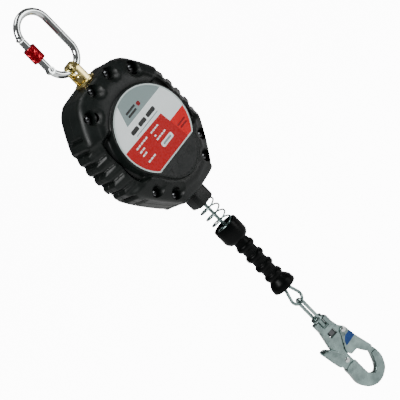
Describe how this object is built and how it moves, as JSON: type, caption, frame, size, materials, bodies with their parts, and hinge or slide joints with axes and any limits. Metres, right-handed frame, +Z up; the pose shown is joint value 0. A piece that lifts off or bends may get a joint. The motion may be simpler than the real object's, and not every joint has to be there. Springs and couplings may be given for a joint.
{
  "type": "self retracting lifeline",
  "caption": "Self retracting lifeline hanging from a screw-gate carabiner: ribbed black housing with round label, wire rope with bumper spring and ringed grip, and a swivel snap hook.",
  "frame": {"origin": "the inner top of the carabiner, where it hangs on its anchor", "axes": "+Z up along the hanging line, the label side towards -Y, the carabiner and the housing wide along X"},
  "size_m": [0.1772, 0.084, 0.715],
  "materials": {
    "zinc_steel": "bright zinc plate",
    "bright_steel": "bright",
    "dark_steel": "oiled",
    "frame_steel": "plated",
    "yellow_zinc": "yellow passivated",
    "bronze": "plain",
    "red_anodised": "anodised",
    "housing_black": "fine textured",
    "label": "printed",
    "drum_aluminium": "cast",
    "wire_rope": "galvanised strand",
    "ferrule": "pressed",
    "friction_lining": "moulded",
    "guide_nylon": "natural",
    "cup_black": "satin",
    "grip_rubber": "satin"
  },
  "bodies": {
    "carabiner": {"carabiner_body": "zinc_steel", "carabiner_gate_pin": "dark_steel"},
    "gate": {"carabiner_gate": "zinc_steel", "carabiner_gate_plunger": "dark_steel", "carabiner_gate_spring": "bright_steel"},
    "sleeve_thread": {"sleeve_thread_ring": "dark_steel"},
    "sleeve": {"carabiner_sleeve": "red_anodised"},
    "swivel": {"swivel_bail": "yellow_zinc"},
    "drum": {"cable_drum": "drum_aluminium", "drum_bushes": "bronze", "rope_winding": "wire_rope", "spring_arbor": "frame_steel", "pawl_plate": "frame_steel", "pawl_pins": "bright_steel", "pawl_springs": "bright_steel"},
    "upper_pawl": {"pawl_upper": "dark_steel"},
    "lower_pawl": {"pawl_lower": "dark_steel"},
    "handle": {"rope_run": "wire_rope", "rope_eye": "wire_rope", "ferrule": "ferrule", "bumper_spring": "bright_steel", "bumper_cup": "cup_black", "cup_washer": "bright_steel", "grip": "grip_rubber"},
    "hook_link": {"hook_bail": "zinc_steel", "hook_swivel_nut": "dark_steel"},
    "hook": {"hook_body": "zinc_steel", "gate_rivet": "dark_steel", "lever_rivet": "dark_steel", "hook_gate_spring": "bright_steel", "lever_spring": "bright_steel"},
    "hook_gate": {"hook_gate": "zinc_steel"},
    "lock_lever": {"lock_lever": "zinc_steel"},
    "housing": {"swivel_bolt": "yellow_zinc", "swivel_nut": "dark_steel", "thrust_washer": "bronze", "crosshead": "frame_steel", "frame_plate_front": "frame_steel", "frame_plate_rear": "frame_steel", "frame_spacers": "bright_steel", "frame_screws": "dark_steel", "front_cover": "housing_black", "rear_cover": "housing_black", "cover_screws": "bright_steel", "label_plate": "label", "main_shaft": "bright_steel", "shaft_nuts": "dark_steel", "spring_case": "frame_steel", "spring_case_screws": "dark_steel", "power_spring": "dark_steel", "brake_linings": "friction_lining", "ratchet_ring": "dark_steel", "pressure_ring": "frame_steel", "brake_screws": "dark_steel", "nozzle": "housing_black", "rope_guide": "guide_nylon"}
  },
  "joints": [
    {"name": "gate_hinge", "type": "hinge", "parent": "carabiner", "child": "gate", "pos_m": [-0.0255, 0, -0.071], "axis": [0, 1, 0], "range_deg": [0, 25], "stiffness_Nm_per_rad": 0.12, "springref_deg": -17.19},
    {"name": "sleeve_travel", "type": "slide", "parent": "gate", "child": "sleeve_thread", "axis": [0, 0, 1], "range_m": [0, 0.014]},
    {"name": "sleeve_spin", "type": "hinge", "parent": "sleeve_thread", "child": "sleeve", "pos_m": [-0.0255, 0, -0.04], "axis": [0, 0, 1], "range_deg": [0, 1261]},
    {"name": "bail_swing", "type": "hinge", "parent": "carabiner", "child": "swivel", "pos_m": [0, 0, -0.0954], "axis": [1, 0, 0], "range_deg": [-60, 60]},
    {"name": "housing_spin", "type": "hinge", "parent": "swivel", "child": "housing", "pos_m": [0, 0, -0.117], "axis": [0, 0, 1], "continuous": true},
    {"name": "rope_payout", "type": "slide", "parent": "housing", "child": "handle", "axis": [0, 0, -1], "range_m": [0, 0.06], "stiffness_N_per_m": 40, "springref_m": -0.5},
    {"name": "drum_spin", "type": "hinge", "parent": "housing", "child": "drum", "pos_m": [0, 0, -0.217], "axis": [0, 1, 0], "range_deg": [0, 72.1], "deforming": ["power_spring"]},
    {"name": "upper_pawl_swing", "type": "hinge", "parent": "drum", "child": "upper_pawl", "pos_m": [0, -0.019, -0.187], "axis": [0, -1, 0], "range_deg": [0, 20], "stiffness_Nm_per_rad": 0.01, "springref_deg": -20.05},
    {"name": "lower_pawl_swing", "type": "hinge", "parent": "drum", "child": "lower_pawl", "pos_m": [0, -0.019, -0.247], "axis": [0, -1, 0], "range_deg": [0, 20], "stiffness_Nm_per_rad": 0.01, "springref_deg": -20.05},
    {"name": "hook_swing", "type": "hinge", "parent": "handle", "child": "hook_link", "pos_m": [0, 0, -0.5426], "axis": [1, 0, 0], "range_deg": [-60, 60]},
    {"name": "hook_spin", "type": "hinge", "parent": "hook_link", "child": "hook", "pos_m": [0, 0, -0.58], "axis": [0, 0, 1], "continuous": true},
    {"name": "hook_gate_swing", "type": "hinge", "parent": "hook", "child": "hook_gate", "pos_m": [0.01387, -0.00424, -0.6126], "axis": [0.2924, 0.9563, 0], "range_deg": [0, 18], "stiffness_Nm_per_rad": 0.1, "springref_deg": -20.05},
    {"name": "lever_squeeze", "type": "hinge", "parent": "hook", "child": "lock_lever", "pos_m": [-0.01167, 0.00357, -0.6462], "axis": [0.2924, 0.9563, 0], "range_deg": [0, 7], "stiffness_Nm_per_rad": 0.1, "springref_deg": -20.05}
  ],
  "couplings": [
    {"joint": "sleeve_spin", "follows": "sleeve_travel", "rad_per_m": 1570.8},
    {"joint": "drum_spin", "follows": "rope_payout", "rad_per_m": 20.944}
  ]
}
